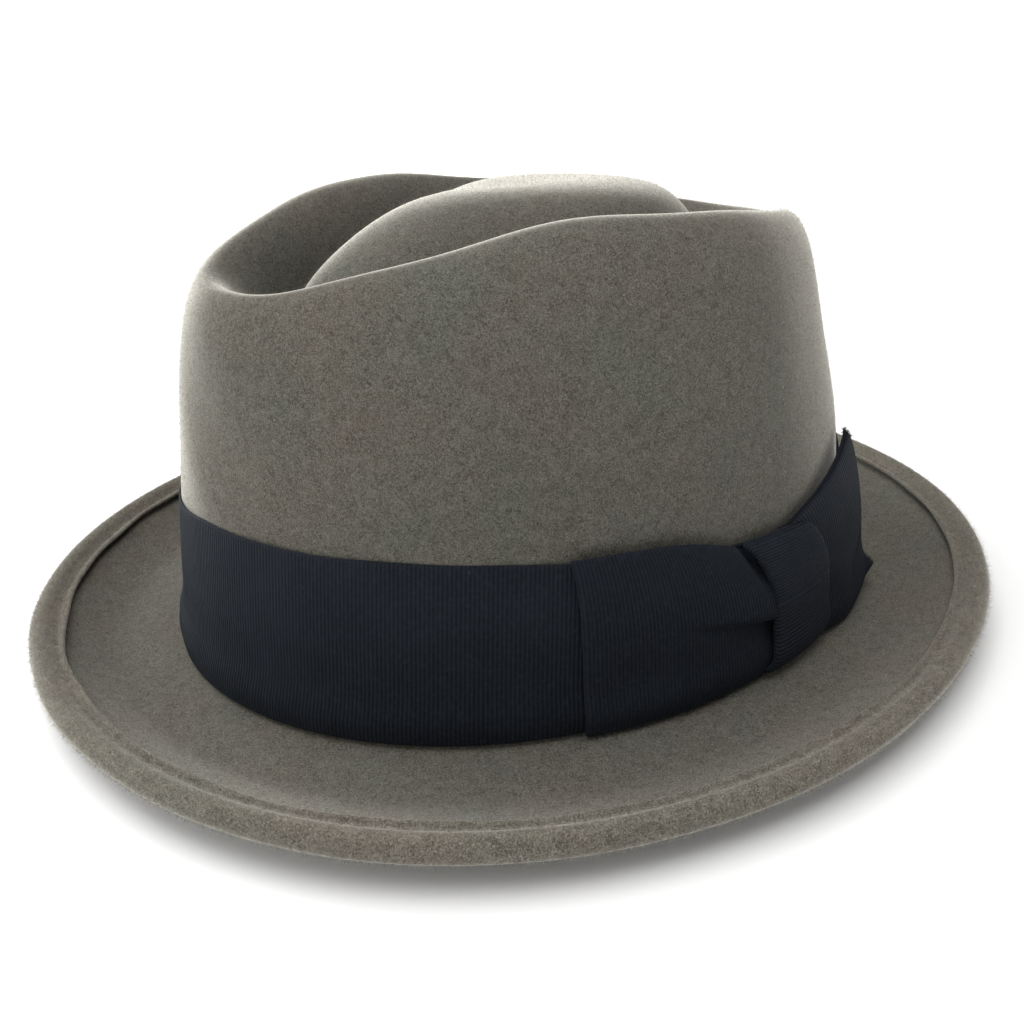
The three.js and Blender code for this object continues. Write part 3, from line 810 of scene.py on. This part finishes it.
def loop_front_off(q, turn, height):
    """How far the loop's front layer stands off the band.

    It swells towards the knot, less at its edges. At the pleat it steps in by a share that grows
    towards the knot and comes back out below, and just above it stands out a little. Higher up
    it tucks in beside the knot.
    """
    edge = SWELL_AT_FOOT - SWELL_LESS_AT_TOP * across_loop
    swell = edge + (1 - edge) * arch(across_loop) ** SWELL_POWER
    off = LOOP_FRONT_OFF + LOOP_SWELL * ease(q / SWELL_REACH) * swell
    line = PLEAT_HEIGHT - PLEAT_FALL * (q - PLEAT_START)
    depth = PLEAT_DEPTH * ease((q - PLEAT_START) / (PLEAT_FULL - PLEAT_START))
    below = soft_step(height, line, PLEAT_SHARP)
    off = off - depth * below * np.exp(-np.clip(line - height, 0, None) / PLEAT_RECOVER)
    above = np.exp(-np.clip(height - line, 0, None) / PLEAT_LIFT_REACH)
    off = off + PLEAT_LIFT * depth * (1 - below) * above
    left_of_knot = edge_line(KNOT_LEFT, across_loop) - turn
    tuck = TUCK_DEPTH * ease((height - TUCK_FOOT) / (TUCK_HEAD - TUCK_FOOT))
    return np.maximum(off - tuck * ease(1 - left_of_knot / TUCK_WIDTH), LOOP_LEAST_OFF)


def loop_layers(front_places):
    """The loop's middle face from the knot along the front, round the fold and back behind it."""
    radius = (LOOP_FRONT_OFF - LOOP_BACK_OFF) / 2
    centre = loop_fold + radius / SIDE_MILLIMETRES
    q = 1 - front_places[None, :]
    turn = centre + (loop_end - centre) * q
    height = loop_height(q)
    front = on_band(turn, height, loop_front_off(q, turn, height))
    lower = LOOP_BACK_LOWER * across_loop
    bend = np.linspace(0, np.pi, LOOP_BEND_COLUMNS)[None, 1:-1]
    fold = on_band(centre - radius / SIDE_MILLIMETRES * np.sin(bend),
                   loop_height(0 * bend) - lower * bend / np.pi,
                   LOOP_BACK_OFF + radius + radius * np.cos(bend))
    q = np.linspace(0, 1, LOOP_BACK_COLUMNS)[None, :]
    behind = on_band(centre + (loop_end - centre) * q, loop_height(q) - lower, LOOP_BACK_OFF + 0 * q)
    return np.concatenate([front, fold, behind], 1)


rough = loop_layers(np.linspace(0, 1, LOOP_ROUGH_COLUMNS))
front_places, _ = even_places(rough[LOOP_ROWS // 2, :LOOP_ROUGH_COLUMNS])
loop_middle = loop_layers(front_places)
loop = cloth_object("bow_loop", loop_middle)
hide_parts("bow_front_loop")


# The bow's tail: the ribbon's two cut ends lie one on the other, spread out past the knot and
# stand off the band more and more towards their lower corner.

TAIL_END = (127.2, 123.4, 0.3)
# Each layer: its name, how far it lies behind the front one, and how much longer it is in degrees.
TAIL_LAYERS = [("bow_tail_upper", 0.0, 0.0), ("bow_tail_lower", 0.95, 0.75)]
TAIL_UNDER_KNOT, TAIL_RIB_SHIFT = 5.0, 0.4
TAIL_FOOT, TAIL_CORNER_RISE, CORNER_START, CORNER_RUN, CORNER_POWER = 3.5, 4.8, 0.72, 0.28, 1.5
TAIL_TOP_PLACES = [0, 0.2, 0.41, 0.6, 0.78, 0.9, 1.0]
TAIL_TOP_HEIGHTS = [38.0, 41.0, 43.2, 45.4, 47.5, 48.6, 49.7]
LINE_PLACES, MEAN_WIDTH, MEANS = 201, 17, 3
TAIL_ROWS, TAIL_ROUGH_COLUMNS = 60, 300
TAIL_SPREAD_TOP, TAIL_SPREAD_FOOT, TAIL_SQUEEZED = 3.05, 7.6, 1.9
SPREAD_REACH, SPREAD_POWER, SPREAD_FOOT_POWER = 0.95, 0.75, 0.6
LOBE_HEIGHT, LOBE_OUT, LOBE_SHARP, LOBE_PLACE, LOBE_LENGTH = 21.0, 1.5, 1.3, 0.42, 0.22
FLICK_OUT, FLICK_HEIGHT, FLICK_START, FLICK_RUN = 1.7, 0.04, 0.88, 0.12

# A soft valley runs up from under the knot towards the free end.
CREASE_FOOT, CREASE_CLIMB, CREASE_START, CREASE_WIDTH, CREASE_DEPTH = 7.5, 20.0, 0.4, 1.7, 0.9
CREASE_RUN_IN, CREASE_RUN_OUT = 0.2, 0.1

across_tail = np.linspace(0, 1, TAIL_ROWS)[:, None]


def smooth_line(places, known_places, known_heights):
    """A line by known points: straight joins, rounded by three running means one after another."""
    close = np.linspace(known_places[0], known_places[-1], LINE_PLACES)
    line = np.interp(close, known_places, known_heights)
    for _ in range(MEANS):
        padded = np.pad(line, MEAN_WIDTH // 2, "reflect", reflect_type="odd")
        line = np.convolve(padded, np.ones(MEAN_WIDTH) / MEAN_WIDTH, "valid")
    return np.interp(places, close, line)


def tail_middle(places, behind, longer):
    """A tail layer's middle face, a distance behind the front one and some degrees longer.

    The turn goes evenly from under the knot to the free end. The off-distance goes from squeezed
    flat to the free end's, which grows by a power towards the foot. Below mid height a lobe stands
    further out beside the knot, and the lower corner flicks outwards.
    """
    q = places[None, :]
    start = edge_line(KNOT_RIGHT, across_tail) - TAIL_UNDER_KNOT
    end = edge_line(TAIL_END, across_tail) + longer
    turn = start + (end - start) * q
    foot = TAIL_FOOT + TAIL_CORNER_RISE * ease((q - CORNER_START) / CORNER_RUN) ** CORNER_POWER
    top = smooth_line(q, TAIL_TOP_PLACES, TAIL_TOP_HEIGHTS)
    height = foot + (top - foot) * across_tail
    free = (TAIL_SPREAD_TOP
            + (TAIL_SPREAD_FOOT - TAIL_SPREAD_TOP) * (1 - across_tail) ** SPREAD_FOOT_POWER)
    off = TAIL_SQUEEZED + (free - TAIL_SQUEEZED) * ease(q / SPREAD_REACH) ** SPREAD_POWER
    lobe = soft_step(height, LOBE_HEIGHT, LOBE_SHARP)
    off = off + LOBE_OUT * lobe * bell(q, LOBE_PLACE, LOBE_LENGTH)
    off = off + FLICK_OUT * bell(across_tail, 0, FLICK_HEIGHT) * ease((q - FLICK_START) / FLICK_RUN)
    crease = CREASE_FOOT + CREASE_CLIMB * (q - CREASE_START)
    valley = CREASE_DEPTH * bell(height, crease, CREASE_WIDTH)
    off = off - valley * ease((q - CREASE_START) / CREASE_RUN_IN) * ease((1 - q) / CREASE_RUN_OUT)
    return on_band(turn, height, off - behind)


for title, behind, longer in TAIL_LAYERS:
    rough = tail_middle(np.linspace(0, 1, TAIL_ROUGH_COLUMNS), behind, longer)
    even, length = even_places(rough[TAIL_ROWS // 2])
    tail = cloth_object(title, tail_middle(even, behind, longer), first_rib=TAIL_RIB_SHIFT * behind)
    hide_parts("bow_back_tail")

# The cut ends fray: fine threads stick out along the free edge, longer ones at its two corners.
FRAY_RADIUS, FRAY_SIDES, FRAY_LEAN, FRAY_ROOT, CORNER_ROWS = 0.11, 5, 0.55, 0.2, 3
EDGE_FRAYS, CORNER_FRAYS = (110, (0.2, 0.6)), (90, (0.5, 2.2))
LAST_PLACES = np.array([0.98, 1.0])

draw = np.random.default_rng(41)
free_ends = [tail_middle(LAST_PLACES, behind, longer) for _, behind, longer in TAIL_LAYERS]
fray_roots, fray_tips = [], []
for row_low, row_high, (count, lengths) in ((0, TAIL_ROWS, EDGE_FRAYS), (0, CORNER_ROWS, CORNER_FRAYS),
                                            (TAIL_ROWS - CORNER_ROWS, TAIL_ROWS, CORNER_FRAYS)):
    for end in free_ends:
        rows = draw.integers(row_low, row_high, count)
        outward = unit(unit(end[rows, 1] - end[rows, 0]) + FRAY_LEAN * draw.normal(size=(count, 3)))
        fray_roots.append(end[rows, 1] - FRAY_ROOT * outward)
        fray_tips.append(end[rows, 1] + outward * draw.uniform(*lengths, (count, 1)))
frayed = spikes_object("frayed_threads", np.concatenate(fray_roots), np.concatenate(fray_tips),
                       FRAY_RADIUS, FRAY_SIDES)
frayed.data.materials.append(
    felt_finish("loose_thread", (0.006, 0.007, 0.01, 1), (0.014, 0.017, 0.023, 1), rim=(0, 0)))
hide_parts("bow_back_tail")
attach(frayed, "root")


# The bow's knot: a short piece of ribbon, its sides folded under, wrapped upright round the loop
# and the tail so that its ribs lie level, and sewn behind.

KNOT_FOOT, KNOT_TOP, KNOT_TOP_FALL, KNOT_RELIEF = 4.3, 40.3, 1.9, 0.055
KNOT_BACK_OFF, KNOT_FRONT_OFF, KNOT_ROUNDNESS, KNOT_LEAST_DEPTH = 0.1, 5.0, 4.2, 0.3
KNOT_ROUGH_COLUMNS, KNOT_FRONT_PLACE, KNOT_CROWN = 1201, 0.25, 0.25
# Across the knot from its left edge: millimetres in from the edge, and how far that line lies
# inside the knot's outer face, as the folded sides turn under.
KNOT_SIDE = [(1.6, 1.5), (0.7, 1.4), (0.12, 1.1), (0.0, 0.68), (0.12, 0.3), (0.5, 0.08), (1.2, 0.0)]
KNOT_SHARES = np.linspace(0, 1, 15)[1:-1]

side_in = np.array([row[0] for row in KNOT_SIDE])
side_drop = np.array([row[1] for row in KNOT_SIDE])
knot_in = np.concatenate([side_in, np.zeros(len(KNOT_SHARES)), -side_in[::-1]])[:, None]
knot_drop = np.concatenate([side_drop, -KNOT_CROWN * arch(KNOT_SHARES), side_drop[::-1]])[:, None]
knot_share = np.concatenate([0 * side_in, KNOT_SHARES, 0 * side_in + 1])[:, None]


def knot_middle(places):
    """The knot's middle face: rounded rectangles upright round the bow, one for each line across.

    A place from 0 to 1 goes once round. Height and off-distance are the middle plus the half size
    times cosine and sine raised to two over the roundness, and each line's half sizes are less by
    its drop. The turn goes from the left edge's line to the right one's at that height.
    """
    swing = 2 * np.pi * places[None, :] - np.pi / 2
    level, out = np.sin(swing), np.cos(swing)
    level = np.sign(level) * np.abs(level) ** (2 / KNOT_ROUNDNESS)
    out = np.sign(out) * np.abs(out) ** (2 / KNOT_ROUNDNESS)
    head = KNOT_TOP - KNOT_TOP_FALL * knot_share
    height = (head + KNOT_FOOT) / 2 + ((head - KNOT_FOOT) / 2 - knot_drop) * level
    depth = (KNOT_FRONT_OFF - KNOT_BACK_OFF) / 2
    off = KNOT_BACK_OFF + depth + np.maximum(depth - knot_drop, KNOT_LEAST_DEPTH) * out
    share = (height - KNOT_FOOT) / (KNOT_TOP - KNOT_FOOT)
    left, right = edge_line(KNOT_LEFT, share), edge_line(KNOT_RIGHT, share)
    turn = left + (right - left) * knot_share + knot_in / SIDE_MILLIMETRES
    return on_band(turn, height, off)


rough = knot_middle(np.linspace(0, 1, KNOT_ROUGH_COLUMNS))
even, knot_length = even_places(rough[len(rough) // 2])
knot_front = knot_middle(np.array([KNOT_FRONT_PLACE]))[:, 0]
knot = cloth_object("bow_knot_wrap", knot_middle(even[:-1]), closed=True, relief=KNOT_RELIEF)
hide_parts("bow_knot")


# The table and the light: a round white table top inside a photographer's tent of white cloth,
# with soft light from above and from both sides, and less of it from in front.

TABLE_RADIUS, TABLE_DROP, ROUND_SIDES = 1.0, 0.0002, 64


def studio_object(name, points, faces, looks):
    """A white piece of the studio: its mesh, and a plain material with values for its sockets."""
    mesh = bpy.data.meshes.new(name)
    mesh.from_pydata(points.tolist(), [], faces.tolist())
    material, tree, shader = new_material(name + "_white")
    feed(tree, shader, looks)
    mesh.materials.append(material)
    return put_in_scene(name, mesh)


def ring(radius, level):
    """Points of a level circle: radius times cosine and sine of even angles, and the level."""
    angles = np.linspace(0, 2 * np.pi, ROUND_SIDES, endpoint=False)
    return np.stack([radius * np.cos(angles), radius * np.sin(angles), np.full(ROUND_SIDES, level)], -1)


ring_near = np.arange(ROUND_SIDES)
ring_far = (ring_near + 1) % ROUND_SIDES
table = studio_object("table", ring(TABLE_RADIUS, -TABLE_DROP), ring_near[None, :],
                      {"Base Color": (0.98, 0.98, 0.975, 1), "Roughness": 0.9})

# The tent's white cloth behind it all, as the camera sees it. Its light on the hat is the glow below.
CLOTH_RADIUS, CLOTH_FOOT, CLOTH_HEAD, CLOTH_BRIGHTNESS = 3.0, -0.5, 3.5, 1.1
cloth_points = np.concatenate([ring(CLOTH_RADIUS, level) for level in (CLOTH_FOOT, CLOTH_HEAD)])
cloth_faces = np.stack([ring_near, ring_near + ROUND_SIDES, ring_far + ROUND_SIDES, ring_far], -1)
tent_cloth = studio_object("tent_cloth", cloth_points, cloth_faces,
                           {"Emission Color": (1, 1, 1, 1), "Emission Strength": CLOTH_BRIGHTNESS})
for sight in ("diffuse", "glossy", "transmission", "volume_scatter", "shadow"):
    setattr(tent_cloth, "visible_" + sight, False)

CAMERA_TURN, CAMERA_RISE, CAMERA_ROLL = np.radians([53.3, 24.8, -1.9])
CAMERA_DISTANCE, CAMERA_LENS = 0.2684, 35.06
CAMERA_TARGET = np.array([0.0268, -0.0250, 0.0343])

to_right = np.array([np.cos(CAMERA_TURN), np.sin(CAMERA_TURN), 0])
behind = np.array([-np.sin(CAMERA_TURN), np.cos(CAMERA_TURN), 0])

# The tent's walls glow: strongly on the left, weakly in front, and white all round at the horizon.
WALL_GLOW = [(-to_right, 1.65), (-behind, 0.3)]
HORIZON_GLOW, HORIZON_FULL, HORIZON_END = 1.12, 0.07, 0.1

tent = bpy.data.worlds.new("tent")
tent.use_nodes = True
bpy.context.scene.world = tent
tent_tree = tent.node_tree
facing = add(tent_tree, "ShaderNodeTexCoord").outputs["Generated"]
glow = 0.0
for wall, share in WALL_GLOW:
    toward = add(tent_tree, "ShaderNodeVectorMath", {0: facing, 1: tuple(map(float, wall))},
                 operation="DOT_PRODUCT").outputs["Value"]
    glow = reckon(tent_tree, "ADD", spread(tent_tree, toward, 0, 1, 0, share), glow)
height_of_view = add(tent_tree, "ShaderNodeSeparateXYZ", {0: facing}).outputs["Z"]
horizon = spread(tent_tree, height_of_view, HORIZON_FULL, HORIZON_END, HORIZON_GLOW, 0)
glow = reckon(tent_tree, "ADD", glow, horizon)
feed(tent_tree, tent_tree.nodes["Background"], {"Strength": glow, "Color": (1, 1, 1, 1)})


def stand(made, right, up, back, place):
    """Turn an object so that its own x, y and z are three directions, and put it in its place."""
    matrix = np.eye(4)
    matrix[:3, :3] = np.stack([right, up, back], 1)
    matrix[:3, 3] = place
    made.matrix_world = Matrix(matrix.tolist())


# Large square lights that face the hat: name, place, side in metres, and power in watts.
LIGHT_TARGET, NEARLY_UP = np.array([0, 0, 0.05]), np.array([0.0, 0.001, 1.0])
SOFT_LIGHTS = [
    ("overhead", np.array([0, 0, 1.6]), 1.6, 23.8),
    ("right_wall", 1.5 * to_right + (0, 0, 0.5), 1.2, 5.3),
    ("left_back", -1.2 * to_right + behind + (0, 0, 0.6), 1.2, 23.2),
]
for name, place, size, power in SOFT_LIGHTS:
    lamp = bpy.data.lights.new(name, "AREA")
    lamp.shape, lamp.size, lamp.energy = "SQUARE", size, power
    back = unit(place - LIGHT_TARGET)
    right = unit(np.cross(NEARLY_UP, back))
    stand(put_in_scene(name, lamp), right, np.cross(back, right), back, place)


# The camera, where the photographer stood: in front of the wearer's left, a little above.

CAMERA_SENSOR, CAMERA_NEAR, CAMERA_FAR = 36.0, 0.01, 50.0

back = np.array([np.sin(CAMERA_TURN) * np.cos(CAMERA_RISE), -np.cos(CAMERA_TURN) * np.cos(CAMERA_RISE),
                 np.sin(CAMERA_RISE)])
level_up = np.cross(back, to_right)
right = np.cos(CAMERA_ROLL) * to_right + np.sin(CAMERA_ROLL) * level_up
up = -np.sin(CAMERA_ROLL) * to_right + np.cos(CAMERA_ROLL) * level_up
lens = bpy.data.cameras.new("camera")
lens.lens, lens.sensor_width, lens.sensor_fit = CAMERA_LENS, CAMERA_SENSOR, "HORIZONTAL"
lens.clip_start, lens.clip_end = CAMERA_NEAR, CAMERA_FAR
camera = put_in_scene("camera", lens)
stand(camera, right, up, back, CAMERA_TARGET + CAMERA_DISTANCE * back)
scene = bpy.context.scene
scene.camera = camera
scene.view_settings.view_transform = "Standard"
